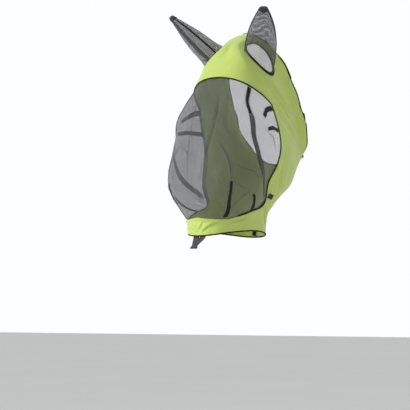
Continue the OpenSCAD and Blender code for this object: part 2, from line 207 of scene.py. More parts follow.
def nearest(line, q):
    """Distance of points q from a line of points, with sign, and the share of the line there."""
    steps = np.diff(line, axis=0)
    lengths = np.linalg.norm(steps, axis=1)
    starts = np.concatenate([[0], np.cumsum(lengths)[:-1]])
    best = np.full(q.shape[:-1], 1e9)
    sign, share = np.ones(q.shape[:-1]), np.zeros(q.shape[:-1])
    for a, step, length, start in zip(line, steps, lengths, starts):
        w = np.clip(((q - a) @ step) / length ** 2, 0, 1)
        off = q - a - w[..., None] * step
        far = np.linalg.norm(off, axis=-1)
        near = far < best
        best = np.where(near, far, best)
        sign = np.where(near, np.sign(step[0] * off[..., 1] - step[1] * off[..., 0]), sign)
        share = np.where(near, (start + w * length) / lengths.sum(), share)
    return best, sign, share


def fold(line, q, height, width):
    """A ridge along a line with a shallower valley beside it, fading at both ends."""
    fine = spline(line, np.linspace(0, len(line) - 1, 5 * len(line)))
    far, sign, share = nearest(fine, q)
    d = far * sign
    fade = np.sqrt(np.clip(np.sin(math.pi * share), 0, 1))
    ridge = np.exp(-np.abs(d / width) ** 1.5)
    return height * fade * (ridge - 0.7 * bump(d, 1.9 * width, 1.2 * width))


def all_folds(rows, x, y, pace):
    """A list of folds at points x, y. pace is metres for one unit of each."""
    q = np.stack([x, y], -1) * pace
    return sum(fold(np.array(line) * pace, q, height, width) for line, height, width in rows)


def all_swells(rows, x, y):
    """A list of swells at points x, y: two places, two spreads and a height each."""
    return sum(h * bump(x, a, c) * bump(y, b, d) for a, b, c, d, h in rows)


def opening_edge(count):
    """The left half of the mesh opening's edge, from the brow to the chin, as [section, angle]."""
    x = np.linspace(0, 1, count)
    return np.concatenate([along(BROW, x[:-1]), along(SIDE, x[:-1]), along(CHIN, x[::-1])])


EDGE_LINE = opening_edge(24)
# The turned hem beside the mesh opening, the roll of the chin edge, and the folds' fade there.
HEM_AT, HEM_WIDTH, HEM_HEIGHT = 6 * MM, 3.2 * MM, 1.3 * MM
CHIN_ROLL = 1.6 * MM
EASED = 14 * MM
# Waves of both free edges and the groove over the jaw seam. LOOP_PLACE is the loop's angle.
NECK_WAVE, NOSE_WAVE, JAW_GROOVE = 1.4 * MM, 1.0 * MM, 0.9 * MM
LOOP_PLACE = -2
# In sections of the hood: small waves of the neck edge, and a flare of it behind each ear.
NECK_SWAY, NECK_FLARE, FLARE_AT = 0.03, 0.12, 54
# Broad swells of both halves: section, angle, their spreads, and height.
HOOD_SWELLS = [(2.1, 33, 0.55, 22, 4.5 * MM), (6.1, 140, 0.7, 28, -7 * MM),
               (4.4, 125, 0.6, 20, 1.5 * MM)]


def relief(t, angle):
    """How far the stretch fabric stands off its smooth shape."""
    t, angle = grid_of(t, angle)
    to_edge = nearest(EDGE_LINE * PACE, np.stack([t, np.abs(angle)], -1) * PACE)[0]
    calm = smooth(to_edge, 2 * MM, EASED)
    turn = np.radians(angle)
    slack = sum(h * np.cos(k * turn + m * t + phase) for k, m, phase, h in SLACK)
    folds = all_folds(HOOD_FOLDS, t, angle, PACE) + RIGHT_SHARE * all_folds(HOOD_FOLDS, t, -angle, PACE)
    hem = HEM_HEIGHT * bump(to_edge, HEM_AT, HEM_WIDTH) * smooth(to_edge, 2.5 * MM, HEM_AT)
    chin = smooth(t, 6.7, 7.0) * smooth(-np.abs(angle), -80, -60)
    roll = bump(to_edge, 3.4 * MM, 2.2 * MM) - 1.4 * bump(to_edge, 8.4 * MM, 2.6 * MM)
    neck = NECK_WAVE * np.exp(-t / 0.4) * (np.sin(9 * turn + 1) + 0.5 * np.sin(16 * turn + 2.2))
    nose = NOSE_WAVE * np.exp((t - NOSE_EDGE) / 0.5) * (np.sin(5 * turn) + 0.6 * np.sin(11 * turn + 1))
    nose *= smooth(np.abs(angle - LOOP_PLACE), 14, 45)
    jaw = -JAW_GROOVE * bump((180 - np.abs(angle)) * PACE[1], 0, 2.2 * MM)
    swells = all_swells(HOOD_SWELLS, t, np.abs(angle))
    return calm * (slack + folds) + swells + hem + chin * CHIN_ROLL * roll + neck + nose + jaw


def hood_point(t, angle, h=0.0):
    """A point of the fabric, h outside its inner face, with its folds and its wavy neck edge."""
    t, angle = grid_of(t, angle)
    turn = np.radians(angle)
    waves = np.sin(9 * turn + 0.5) + 0.5 * np.sin(16 * turn)
    at = t + np.exp(-t / 0.25) * (NECK_SWAY * waves - NECK_FLARE * bump(np.abs(angle), FLARE_AT, 16))
    return skin(at, angle) + outward(at, angle) * (h + relief(t, angle))[..., None]


# ---------- the mesh face ----------


def opening(u, v):
    """Left half of the mesh opening: u from the middle to the cheek, v from the brow to the chin."""
    u, v = grid_of(u, v)
    w, z = u[..., None], v[..., None]
    a0, a1, b0, b1 = (np.array(p, float) for p in (BROW[0], BROW[-1], CHIN[0], CHIN[-1]))
    edges = ((1 - z) * along(BROW, u) + z * along(CHIN, u)
             + (1 - w) * (a0 + (b0 - a0) * z) + w * along(SIDE, v))
    return edges - ((1 - w) * (1 - z) * a0 + w * (1 - z) * a1 + (1 - w) * z * b0 + w * z * b1)


def inside(x):
    """1 in the middle, falling to 0 where x is -1 or 1."""
    return np.clip(1 - x ** 6, 0, 1) ** 2


def dome(u, v):
    """How far the darted mesh stands off the hood's smooth shape."""
    return inside(u) * inside(2 * v - 1) * (
        EDGE_DOME + EYE_DOME * bump(u, 0.75, 0.3) * bump(v, 0.28, 0.16)
        + CHEEK_DOME * bump(u, 0.6, 0.5) * bump(v, 0.66, 0.24))


def seam_u(v):
    """Where the long seam of each half is."""
    return along(FACE_SEAM, np.asarray(v, float) / SEAM_END)[..., 1]


def mesh_scale(u, v):
    """Metres on the domed mesh for one unit of u and for one of v, as pairs."""
    def point(a, b):
        p = opening(np.clip(a, 0.01, 1), b)
        return skin(p[..., 0], p[..., 1]) + outward(p[..., 0], p[..., 1]) * dome(a, b)[..., None]
    e = 0.01
    a, b = np.clip(np.abs(u), 0.03, 0.97), np.clip(v, 0.02, 0.98)
    wide = np.linalg.norm(point(a + e, b) - point(a - e, b), axis=-1)
    long = np.linalg.norm(point(a, b + e) - point(a, b - e), axis=-1)
    return np.stack([wide, long], -1) / (2 * e)


def beside(line):
    """For [u, v] points of a line: the [u, v] step to one metre beside it."""
    scale = mesh_scale(line[:, 0], line[:, 1])
    step = unit(np.gradient(line, axis=0) * scale)
    return np.stack([-step[:, 1], step[:, 0]], -1) / scale


# Sharp creases of the mesh, as [u, v] lines: height and half width. Both halves have them.
NOSE_CREASE = [[0.4, 0.66], [0.38, 0.585], [0.344, 0.528], [0.304, 0.49], [0.256, 0.458],
               [0.206, 0.43]]
CENTRE_CREASE = [[0.144, 0.136], [0.156, 0.24], [0.15, 0.338], [0.14, 0.432], [0.13, 0.526],
                 [0.106, 0.606], [0.086, 0.68]]
CHEEK_CREASE = [[0.422, 0.55], [0.468, 0.558], [0.534, 0.556], [0.612, 0.558], [0.696, 0.584]]
CHIN_CREASE = [[0.41, 0.652], [0.454, 0.662], [0.5, 0.672], [0.54, 0.678]]
CORNER_CREASE = [[0.596, 0.674], [0.538, 0.722], [0.506, 0.772], [0.486, 0.828], [0.49, 0.862]]
EYE_PLEAT = [[0.636, 0.268], [0.672, 0.28], [0.714, 0.284], [0.752, 0.306], [0.812, 0.33],
             [0.9, 0.34]]
# Line, height and half width of the crease, and half width of the pinched pleat on it.
CREASES = [(NOSE_CREASE, 2.4 * MM, 3 * MM, 1.6 * MM), (CENTRE_CREASE, -2.4 * MM, 4.5 * MM, 1.0 * MM),
           (CHEEK_CREASE, 1.2 * MM, 2.4 * MM, 0.7 * MM), (CHIN_CREASE, 1.2 * MM, 2.4 * MM, 0.7 * MM),
           (CORNER_CREASE, 1.4 * MM, 2.4 * MM, 0.9 * MM), (EYE_PLEAT, 1.6 * MM, 2.4 * MM, 1.2 * MM)]
# Soft hollows and swells of the mesh.
SWELLS = [([[0.3, 0.04], [0.27, 0.2], [0.3, 0.36]], -1.8 * MM, 7 * MM),
          ([[0.42, 0.45], [0.3, 0.62], [0.28, 0.8]], 1.8 * MM, 9 * MM),
          ([[0.2, 0.7], [0.16, 0.84], [0.2, 0.96]], -1.4 * MM, 7 * MM),
          ([[0.75, 0.5], [0.7, 0.66], [0.6, 0.8]], 1.4 * MM, 8 * MM),
          ([[0.9, 0.2], [0.88, 0.4], [0.92, 0.6]], -1.4 * MM, 7 * MM)]
# Broad swells of both halves: u, v, their spreads, and height.
MESH_SWELLS = [(0.52, 0.33, 0.22, 0.055, -5 * MM), (0.48, 0.22, 0.2, 0.05, 2.5 * MM),
               (0.48, 0.8, 0.25, 0.13, -7 * MM), (0.75, 0.3, 0.12, 0.08, 2 * MM)]
TUCK = -0.9 * MM


def mesh_relief(u, v):
    """Creases, swells and ripple of the mesh, and its edge tucked under the fabric."""
    across, down = np.abs(u), np.abs(2 * v - 1)
    drape = all_folds([crease[:3] for crease in CREASES] + SWELLS, across, v, SPAN)
    drape += all_swells(MESH_SWELLS, across, v)
    ripple = 0.35 * MM * np.sin(31 * u + 9 * v) * np.sin(23 * v - 6 * u)
    calm = inside(across) * inside(down)
    under = np.maximum(smooth(across, 0.965, 1), smooth(down, 0.975, 1))
    return calm * (drape + ripple) + TUCK * under


def mesh_point(side, u, v, h=0.0):
    """A point h outside the face mesh. u below 0 is on the other half."""
    u, v = grid_of(u, v)
    p = opening(np.abs(u), v)
    t, angle = p[..., 0], np.where(u < 0, -side, side) * p[..., 1]
    off = dome(np.abs(u), v) + h + mesh_relief(u, v)
    return skin(t, angle) + outward(t, angle) * off[..., None]


# ---------- the ear sleeves ----------


def ear_ellipse(side, turn, grow=1.0):
    """Section and angle of a point of an ear hole's edge."""
    a = np.radians(turn)
    return EAR_AT[0] + EAR_HALF[0] * grow * np.cos(a), side * (EAR_AT[1] + EAR_HALF[1] * grow * np.sin(a))


def ear_hole(side, turn, h=0.0, grow=1.0):
    """The same point, h outside the fabric's inner face."""
    return hood_point(*ear_ellipse(side, turn, grow), h)


def ear_frame(side):
    """Root, axis, across (towards the outer edge) and front of a sleeve."""
    root = skin(*ear_ellipse(side, [0, 90, 180, 270])).mean(0)
    axis = unit(np.array([side * EAR_LINE[0], EAR_LINE[1], EAR_LINE[2]], float))
    facing = np.array([side * math.sin(math.radians(EAR_YAW)), -math.cos(math.radians(EAR_YAW)), 0])
    front = unit(facing - axis * (facing @ axis))
    return root, axis, side * np.cross(axis, front), front


# Folds of a sleeve: line of [turn, share of the length] points, height, half width.
EAR_FOLDS = [([[40, 0.1], [60, 0.4], [72, 0.8]], 1.6 * MM, 4 * MM),
             ([[118, 0.06], [112, 0.3], [100, 0.62]], -1.8 * MM, 4 * MM),
             ([[150, 0.1], [140, 0.4], [128, 0.74]], 1.3 * MM, 3.4 * MM),
             ([[210, 0.08], [225, 0.4], [240, 0.7]], 1.5 * MM, 4 * MM),
             ([[300, 0.08], [290, 0.4], [280, 0.75]], -1.5 * MM, 4 * MM)]
EAR_PACE = np.array([0.0011, EAR_LENGTH])


def sleeve_skin(side, turn, v):
    """A smooth ear sleeve, which leaves the hood's ear hole and becomes an upright leaf."""
    turn, v = grid_of(turn, v)
    root, axis, across, front = ear_frame(side)
    taper = along(EAR_TAPER, v)
    a = np.radians(turn)
    ring = (root + axis * (EAR_LENGTH * v)[..., None]
            + across * (EAR_WIDTH / 2 * taper[..., 0] * np.cos(a))[..., None]
            + front * (EAR_DEPTH / 2 * taper[..., 1] * np.sin(a))[..., None])
    edge = ear_hole(side, 90 + EAR_YAW - turn, FABRIC + 0.5 * MM, 1.03)
    blend = (np.clip(1 - v / 0.3, 0, 1) ** 1.5)[..., None]
    return blend * edge + (1 - blend) * ring


def sleeve(side, turn, v, h=0.0):
    """A point of an ear sleeve, h outside it. Turn 0 is its outer edge and 90 its front."""
    turn, v = grid_of(turn, v)
    around = sleeve_skin(side, turn + 2, v) - sleeve_skin(side, turn - 2, v)
    above, below = np.minimum(v + 0.01, 1), np.maximum(v - 0.01, 0)
    up = sleeve_skin(side, turn, above) - sleeve_skin(side, turn, below)
    drape = smooth(v, 0, 0.15) * smooth(-v, -1, -0.9) * all_folds(EAR_FOLDS, turn, v, EAR_PACE)
    return sleeve_skin(side, turn, v) + side * unit(np.cross(up, around)) * (h + drape)[..., None]


# ---------- meshes ----------


def make(name, points, faces, material, uv=None):
    """A smooth-shaded mesh object from arrays of points and faces. uv is one pair a point."""
    mesh = bpy.data.meshes.new(name)
    mesh.from_pydata(np.asarray(points).reshape(-1, 3).tolist(), [], [list(f) for f in faces])
    if uv is not None:
        corners = np.empty(len(mesh.loops), np.int32)
        mesh.loops.foreach_get("vertex_index", corners)
        layer = mesh.uv_layers.new(name="Metres")
        layer.data.foreach_set("uv", np.asarray(uv, float).reshape(-1, 2)[corners].ravel())
    mesh.shade_smooth()
    mesh.materials.append(material)
    mesh.update()
    obj = bpy.data.objects.new(name, mesh)
    bpy.context.scene.collection.objects.link(obj)
    return obj


def grid_faces(rows, columns, closed_rows=False, closed_columns=False, flip=False):
    """Quads of a grid of points stored row by row."""
    last_row = rows if closed_rows else rows - 1
    last_column = columns if closed_columns else columns - 1
    j, i = np.meshgrid(np.arange(last_row), np.arange(last_column), indexing="ij")
    a = j * columns + i
    b = j * columns + (i + 1) % columns
    c = (j + 1) % rows * columns + (i + 1) % columns
    d = (j + 1) % rows * columns + i
    quads = np.stack([a, b, c, d], -1).reshape(-1, 4)
    return quads[:, ::-1] if flip else quads


def lengths_along(points, axis):
    """Running length of a grid of points along one of its axes."""
    steps = np.linalg.norm(np.diff(points, axis=axis), axis=-1)
    start = np.zeros_like(np.take(steps, [0], axis=axis))
    return np.concatenate([start, np.cumsum(steps, axis=axis)], axis=axis)


def cloth(name, points, material, flip=False):
    """An open sheet through a grid of points, with its uv in metres measured on the sheet."""
    middle = points.shape[1] // 2
    across = lengths_along(points, 1)
    across = across - across[:, middle:middle + 1]
    down = lengths_along(points, 0)
    uv = np.stack([across, np.broadcast_to(down, across.shape)], -1)
    return make(name, points, grid_faces(*points.shape[:2], flip=flip), material, uv)


def tube(name, rings, material, closed=False, flip=False):
    """A solid through rings of points, with flat ends unless it is closed on itself."""
    count, around = rings.shape[:2]
    faces = [tuple(f) for f in grid_faces(count, around, closed, True, flip)]
    if not closed:
        first, last = tuple(range(around)), tuple(range((count - 1) * around, count * around))
        faces += [first if flip else first[::-1], last[::-1] if flip else last]
    girth = lengths_along(rings, 1)
    length = lengths_along(rings, 0)
    uv = np.stack([girth, np.broadcast_to(length[:, :1], girth.shape)], -1)
    return make(name, rings, faces, material, uv)


def pillow(width, low, high, count=9):
    """Section of a flat tape with rounded edges: [across, up] pairs round it."""
    x = np.linspace(-1, 1, count)
    crown = low + (high - low) * (1 - np.abs(x) ** 3.5) ** 0.6
    top = np.stack([x * width / 2, crown], -1)
    base = np.stack([x[::-1][1:-1] * width / 2, np.full(count - 2, low)], -1)
    return np.concatenate([top, base])


def merge(name, objects):
    """Joins meshes into the first of them."""
    with bpy.context.temp_override(active_object=objects[0], selected_editable_objects=objects):
        bpy.ops.object.join()
    objects[0].name = name
    return objects[0]


def threads(name, starts, ends, ups, thickness, material):
    """Stitches: a small spindle from each start to its end, flattened against the cloth."""
    starts, ends, ups = (np.asarray(x).reshape(-1, 3) for x in (starts, ends, ups))
    forward = unit(ends - starts)
    across = unit(np.cross(ups, forward))
    up = np.cross(forward, across)
    rings = []
    for x, share in ((0.0, 0.45), (0.25, 1.0), (0.75, 1.0), (1.0, 0.45)):
        centre = starts + (ends - starts) * x + up * (share - 0.6) * thickness
        corners = [centre + (across * math.cos(a) + 0.7 * up * math.sin(a)) * thickness * share
                   for a in np.radians([0, 60, 120, 180, 240, 300])]
        rings.append(np.stack(corners, 1))
    points = np.stack(rings, 1)
    one = [tuple(f) for f in grid_faces(4, 6, False, True)]
    one += [tuple(range(6))[::-1], tuple(range(18, 24))]
    faces = [[i + 24 * k for i in f] for k in range(len(starts)) for f in one]
    uv = np.broadcast_to(np.stack(np.meshgrid(np.arange(6), np.arange(4)), -1) * MM,
                         (len(starts), 4, 6, 2))
    return make(name, points, faces, material, uv)


def stitch_line(name, line, ups, pitch, thickness, material, length=0.7):
    """Running stitches along a dense line of points. length is the stitch's share of its pitch."""
    run = lengths_along(line, 0)
    count = max(int(run[-1] / pitch), 1)
    at = (np.arange(count) + 0.15) * run[-1] / count
    reach = length * run[-1] / count

    def pick(values, x):
        return np.stack([np.interp(x, run, values[:, k]) for k in range(3)], -1)

    return threads(name, pick(line, at), pick(line, at + reach), pick(ups, at), thickness, material)


def fitted(obj, body, slot, *nodes, bend=None):
    """Rides a piece on its body and hides the CAD parts of the nodes it stands for. Given bend, it only
    bakes the piece's transform: nothing bends it, and it does not ride on the body. slot, its finish, is
    not used."""
    if bend:
        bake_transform(obj)
    else:
        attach(obj, body)
    if nodes:
        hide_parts(*nodes)
    return obj


# ---------- materials ----------

FINE_THREAD, TAPE_THREAD, SEAM_THREAD = 0.2 * MM, 0.22 * MM, 0.45 * MM
NET_PITCH = 1.3 * MM
TAPE_BLACK = (0.0065, 0.0068, 0.0072, 1.0)


class Nodes:
    """Short ways to add shader nodes to one material."""

    def __init__(self, name):
        self.material = bpy.data.materials.new(name)
        self.material.use_nodes = True
        self.tree = self.material.node_tree
        self.shader = self.tree.nodes["Principled BSDF"]

    def add(self, kind, **settings):
        node = self.tree.nodes.new(kind)
        for key, value in settings.items():
            setattr(node, key, value)
        return node

    def put(self, socket, value):
        if isinstance(value, bpy.types.NodeSocket):
            self.tree.links.new(value, socket)
        else:
            socket.default_value = value

    def math(self, operation, *values):
        node = self.add("ShaderNodeMath", operation=operation)
        for socket, value in zip(node.inputs, values):
            self.put(socket, value)
        return node.outputs[0]

    def times(self, a, b):
        return self.math("MULTIPLY", a, b)

    def plus(self, a, b):
        return self.math("ADD", a, b)

    def rest(self, x):
        """What x leaves of 1."""
        return self.math("SUBTRACT", 1.0, x)

    def uv(self):
        split = self.add("ShaderNodeSeparateXYZ")
        self.put(split.inputs[0], self.add("ShaderNodeUVMap", uv_map="Metres").outputs[0])
        return split.outputs[0], split.outputs[1]

    def wave(self, x, pitch):
        """0 on a thread's middle to 1 midway between threads."""
        return self.times(self.math("PINGPONG", self.math("DIVIDE", x, pitch), 0.5), 2)

    def steps(self, x, low, high):
        node = self.add("ShaderNodeMapRange", interpolation_type="SMOOTHSTEP")
        for socket, value in zip(node.inputs, (x, low, high, 0.0, 1.0)):
            self.put(socket, value)
        return node.outputs[0]

    def noise(self, scale, detail=2.0):
        node = self.add("ShaderNodeTexNoise")
        self.put(node.inputs["Vector"], self.add("ShaderNodeTexCoord").outputs["Object"])
        self.put(node.inputs["Scale"], scale)
        self.put(node.inputs["Detail"], detail)
        return node.outputs["Fac"]

    def mix(self, factor, a, b):
        node = self.add("ShaderNodeMix", data_type="RGBA")
        for socket, value in zip((node.inputs[0], node.inputs[6], node.inputs[7]), (factor, a, b)):
            self.put(socket, value)
        return node.outputs[2]

    def bumps(self, height, distance, strength=1.0):
        node = self.add("ShaderNodeBump")
        self.put(node.inputs["Strength"], strength)
        self.put(node.inputs["Distance"], distance)
        self.put(node.inputs["Height"], height)
        self.put(self.shader.inputs["Normal"], node.outputs[0])

    def finish(self, **values):
        for key, value in values.items():
            self.put(self.shader.inputs[key.replace("_", " ")], value)
        return self.material


def rgb(r, g, b):
    return (r, g, b, 1.0)


def stretch_fabric():
    """Fine lime warp knit: columns of tiny V stitches, a soft sheen, slightly uneven colour, and painted
    shade in the hollows between the loops.
    """
    n = Nodes("stretch_fabric")
    u, v = n.uv()
    wale = n.wave(u, 0.9 * MM)
    course = n.wave(n.plus(v, n.times(wale, 0.45 * MM)), 0.8 * MM)
    loops = n.rest(n.times(n.plus(wale, course), 0.5))
    patchy = n.noise(22.0, 3.0)
    base = n.mix(n.steps(patchy, 0.3, 0.7), rgb(0.385, 0.485, 0.105), rgb(0.430, 0.530, 0.130))
    # painted shade: the knit darkens to a deeper lime in the hollows between its loops, where the bump is
    # low.
    knit = n.mix(n.steps(loops, 0.1, 0.8), rgb(0.300, 0.390, 0.072), base)
    rough = n.plus(0.60, n.times(patchy, 0.15))
    n.bumps(loops, 0.25 * MM, 0.5)
    return n.finish(Base_Color=knit, Roughness=rough, Sheen_Weight=0.35, Sheen_Roughness=0.45,
                    Sheen_Tint=rgb(0.95, 1.0, 0.75), Specular_IOR_Level=0.35)


def fine_mesh(name, wale_pitch, course_pitch, wale_width, course_width, dark, light):
    """See-through knitted net: upright wales joined by zigzag threads, with square-ish holes."""
    n = Nodes(name)
    u, v = n.uv()
    wale = n.wave(u, wale_pitch)
    lean = n.times(wale, course_pitch * 0.35)
    course = n.wave(n.plus(v, lean), course_pitch)
    upright = n.rest(n.steps(wale, wale_width - 0.07, wale_width + 0.07))
    level = n.rest(n.steps(course, course_width - 0.07, course_width + 0.07))
    thread = n.math("MAXIMUM", upright, level)
    tone = n.mix(n.noise(45.0), dark, light)
    n.bumps(n.rest(n.math("MINIMUM", wale, course)), 0.3 * MM, 0.6)
    return n.finish(Base_Color=tone, Alpha=thread, Roughness=0.6, Sheen_Weight=0.12,
                    Sheen_Roughness=0.5, Specular_IOR_Level=0.25)


def knit_tape(name, colour, worn, rib, rough=0.78, sheen=0.05):
    """Dark elastic tape: ribs across its length, fuzz, and slightly paler worn spots."""
    n = Nodes(name)
    u, v = n.uv()
    ribs = n.wave(v, rib)
    lengthwise = n.wave(u, rib * 0.8)
    weave = n.times(n.rest(ribs), n.rest(n.times(lengthwise, 0.5)))
    tone = n.mix(n.times(n.steps(n.noise(60.0, 4.0), 0.45, 0.8), 0.7), colour, worn)
    shade = n.mix(n.steps(weave, 0.1, 0.9), colour, tone)
    n.bumps(weave, 0.25 * MM, 0.7)
    return n.finish(Base_Color=shade, Roughness=rough, Sheen_Weight=sheen, Sheen_Roughness=0.5,
                    Specular_IOR_Level=0.2)


def webbing_cloth():
    """Herringbone polyester webbing with a slight gloss, and a painted highlight on the crowns of its
    twill.
    """
    n = Nodes("webbing")
    u, v = n.uv()
    chevron = n.times(n.wave(u, 5.3 * MM), 2.2 * MM)
    twill = n.wave(n.plus(v, chevron), 1.1 * MM)
    yarn = n.wave(u, 0.8 * MM)
    height = n.times(n.rest(twill), n.math("SUBTRACT", 1.2, yarn))
    # painted highlight: the twill's raised crowns are coloured lighter than its grooves.
    shade = n.mix(n.steps(height, 0.1, 0.9), rgb(0.006, 0.006, 0.007), rgb(0.030, 0.031, 0.034))
    rough = n.plus(0.32, n.times(n.noise(90.0), 0.2))
    n.bumps(height, 0.3 * MM, 0.8)
    return n.finish(Base_Color=shade, Roughness=rough, Sheen_Weight=0.06, Specular_IOR_Level=0.5)


def label_satin():
    """Dull black satin with fine slanting floats, and a painted sheen along the floats."""
    n = Nodes("label_satin")
    u, v = n.uv()
    floats = n.wave(n.plus(u, n.times(v, 0.5)), 0.35 * MM)
    # painted sheen: the floats' raised parts are coloured lighter than the hollows between them.
    shade = n.mix(floats, rgb(0.010, 0.010, 0.011), rgb(0.022, 0.022, 0.024))
    n.bumps(floats, 0.08 * MM, 0.6)
    return n.finish(Base_Color=shade, Roughness=0.45, Specular_IOR_Level=0.35, Sheen_Weight=0.04)


def sewing_thread(name, colour, lit):
    """Twisted thread with a painted highlight: stripes of its lit colour along the twist."""
    n = Nodes(name)
    u, v = n.uv()
    twist = n.wave(n.plus(u, v), 1.4 * MM)
    n.bumps(twist, 0.1 * MM, 0.5)
    return n.finish(Base_Color=n.mix(twist, lit, colour), Roughness=0.55, Specular_IOR_Level=0.3)


LIME = stretch_fabric()
FACE_NET = fine_mesh("fine_mesh", NET_PITCH, 1.15 * MM, 0.37, 0.35,
                     rgb(0.052, 0.054, 0.058), rgb(0.085, 0.088, 0.094))
EAR_NET = fine_mesh("ear_mesh", NET_PITCH, 1.5 * MM, 0.40, 0.38,
                    rgb(0.040, 0.041, 0.043), rgb(0.075, 0.077, 0.080))
SEAM_NET = fine_mesh("seam_mesh", 1.1 * MM, 1.0 * MM, 0.72, 0.70,
                     rgb(0.008, 0.009, 0.010), rgb(0.022, 0.024, 0.026))
BINDING = knit_tape("binding", TAPE_BLACK, rgb(0.022, 0.022, 0.024), 0.9 * MM)
DART = knit_tape("seam_fabric", TAPE_BLACK, rgb(0.016, 0.016, 0.017), 0.6 * MM, 0.85, 0.03)
WEBBING = webbing_cloth()
SATIN = label_satin()
# The second colour of each thread is its lit colour, painted on as highlight stripes.
BLACK_THREAD = sewing_thread("black_thread", rgb(0.008, 0.008, 0.009), rgb(0.028, 0.028, 0.031))
LIME_THREAD = sewing_thread("lime_thread", rgb(0.32, 0.43, 0.08), rgb(0.50, 0.62, 0.16))


def sew(name, line, ups, pitch, slot="binding", thread=BLACK_THREAD, thickness=FINE_THREAD, length=0.7):
    """A line of stitches that rides on the hood."""
    fitted(stitch_line(name, line, ups, pitch, thickness, thread, length), "hood", slot)


# ---------- hood ----------

GRID = ((150, 232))
OPENING_POINTS, EAR_HOLE_POINTS = 70, 72
# No grid point lies closer than this to a hole's edge.
CLEAR_OF_EDGE = 1.3 * MM


def loop_points(edge):
    """A closed line of [section, angle] points: the left half followed by its mirror image."""
    return np.concatenate([edge, (edge * [1, -1])[::-1][1:-1]])


def holds(polygon, points):
    """Which points lie in a polygon."""
    x, y = points[:, 0], points[:, 1]
    hit = np.zeros(len(points), bool)
    for a, b in zip(polygon, np.roll(polygon, -1, 0)):
        spans = (a[1] > y) != (b[1] > y)
        with np.errstate(divide="ignore", invalid="ignore"):
            cross = (b[0] - a[0]) * (y - a[1]) / (b[1] - a[1]) + a[0]
        hit ^= spans & (x < cross)
    return hit


def hood_net():
    """Triangles over [section, angle] points, with the mesh opening and the ear holes left out."""
    ts, angles = np.linspace(0, NOSE_EDGE, GRID[0]), np.linspace(-180, 180, GRID[1])
    grid = np.stack(np.meshgrid(ts, angles, indexing="ij"), -1).reshape(-1, 2)
    turns = np.linspace(0, 360, EAR_HOLE_POINTS, endpoint=False)
    holes = [loop_points(opening_edge(OPENING_POINTS))]
    holes += [np.stack(ear_ellipse(side, turns), -1) for _, side in SIDES]
    keep = np.ones(len(grid), bool)
    for hole in holes:
        keep &= ~holds(hole, grid)
        keep &= nearest(np.vstack([hole, hole[:1]]) * PACE, grid * PACE)[0] > CLEAR_OF_EDGE
    points, edges, total = [grid[keep]], [], int(keep.sum())
    for hole in holes:
        ids = np.arange(len(hole)) + total
        edges += list(zip(ids.tolist(), np.roll(ids, -1).tolist()))
        points.append(hole)
        total += len(hole)
    decimetres = [Vector(p) for p in (np.concatenate(points) * PACE * 10).tolist()]
    made = geometry.delaunay_2d_cdt(decimetres, edges, [], 0, 1e-7)
    flat = np.array([tuple(p) for p in made[0]]) / 10 / PACE
    triangles = np.array([tuple(f) for f in made[2]])
    for hole in holes:
        triangles = triangles[~holds(hole, flat[triangles].mean(1))]
    return flat, triangles


def weld_jaw(flat, triangles):
    """Joins the net's two edges, at -180 and 180 degrees, and drops the points left over."""
    low, high = (np.where(hit)[0] for hit in (flat[:, 1] < -179.999, flat[:, 1] > 179.999))
    weld = np.arange(len(flat))
    weld[high[np.argsort(flat[high, 0])]] = low[np.argsort(flat[low, 0])]
    used, triangles = np.unique(weld[triangles], return_inverse=True)
    return flat[used], triangles.reshape(-1, 3)


def free_edges(triangles):
    """The edges that only one triangle has."""
    sides = np.concatenate([triangles[:, [0, 1]], triangles[:, [1, 2]], triangles[:, [2, 0]]])
    _, index, times = np.unique(np.sort(sides, 1), axis=0, return_index=True, return_counts=True)
    return sides[index[times == 1]]


def lookup(xs, ys, values, q):
    """Values of an even grid at points q."""
    i = np.clip((q[:, 0] - xs[0]) / (xs[1] - xs[0]), 0, len(xs) - 1.001)
    j = np.clip((q[:, 1] - ys[0]) / (ys[1] - ys[0]), 0, len(ys) - 1.001)
    a, b = i.astype(int), j.astype(int)
    f, g = (i - a)[:, None], (j - b)[:, None]
    return ((1 - f) * (1 - g) * values[a, b] + f * (1 - g) * values[a + 1, b]
            + (1 - f) * g * values[a, b + 1] + f * g * values[a + 1, b + 1])


def hood_uv(flat):
    """Metres round and down the smooth hood."""
    ts, angles = np.linspace(0, NOSE_EDGE, 60), np.linspace(-180, 180, 181)
    table = skin(*np.meshgrid(ts, angles, indexing="ij"))
    around = lengths_along(table, 1)
    around -= around[:, 90:91]
    return lookup(ts, angles, np.stack([around, lengths_along(table, 0)], -1), flat)


def hood():
    """The stretch hood: one closed skin with its mesh opening and ear holes left open."""
    flat, triangles = weld_jaw(*hood_net())
    rim = free_edges(triangles)
    inner, outer = (hood_point(flat[:, 0], flat[:, 1], h) for h in (0.0, FABRIC))
    a, b, c = (outer[triangles[:, k]] for k in range(3))
    if np.einsum("ij,ij->i", np.cross(b - a, c - a), (outer - inner)[triangles[:, 0]]).mean() < 0:
        triangles, rim = triangles[:, ::-1], rim[:, ::-1]
    count = len(flat)
    faces = triangles.tolist() + (triangles[:, ::-1] + count).tolist()
    faces += [[b, a, a + count, b + count] for a, b in rim.tolist()]
    uv = np.tile(hood_uv(flat), (2, 1))
    return fitted(make("hood_shell_fabric", np.concatenate([outer, inner]), faces, LIME, uv),
                  "hood", "stretch_fabric", "hood_shell")


hood()

# ---------- bindings and jaw seam ----------

# The opening's tape: widths, thickness, gap under it, and how high its stitches lie.
BROW_TAPE, SIDE_TAPE, TAPE_THICK, TAPE_GAP, ON_TAPE = 3.6 * MM, 5.0 * MM, 1.5 * MM, 0.15 * MM, 1.62 * MM
# Across the chin the tape lies this far behind the fabric, and this many sections lower.
HIDDEN_DEPTH, HIDDEN_DROP = 3.2 * MM, 0.05
# How far a bead reaches up the fabric, past its edge and over its faces.
BEAD_GRIP, BEAD_OVER, BEAD_RISE = 2.6 * MM, 0.8 * MM, 0.95 * MM
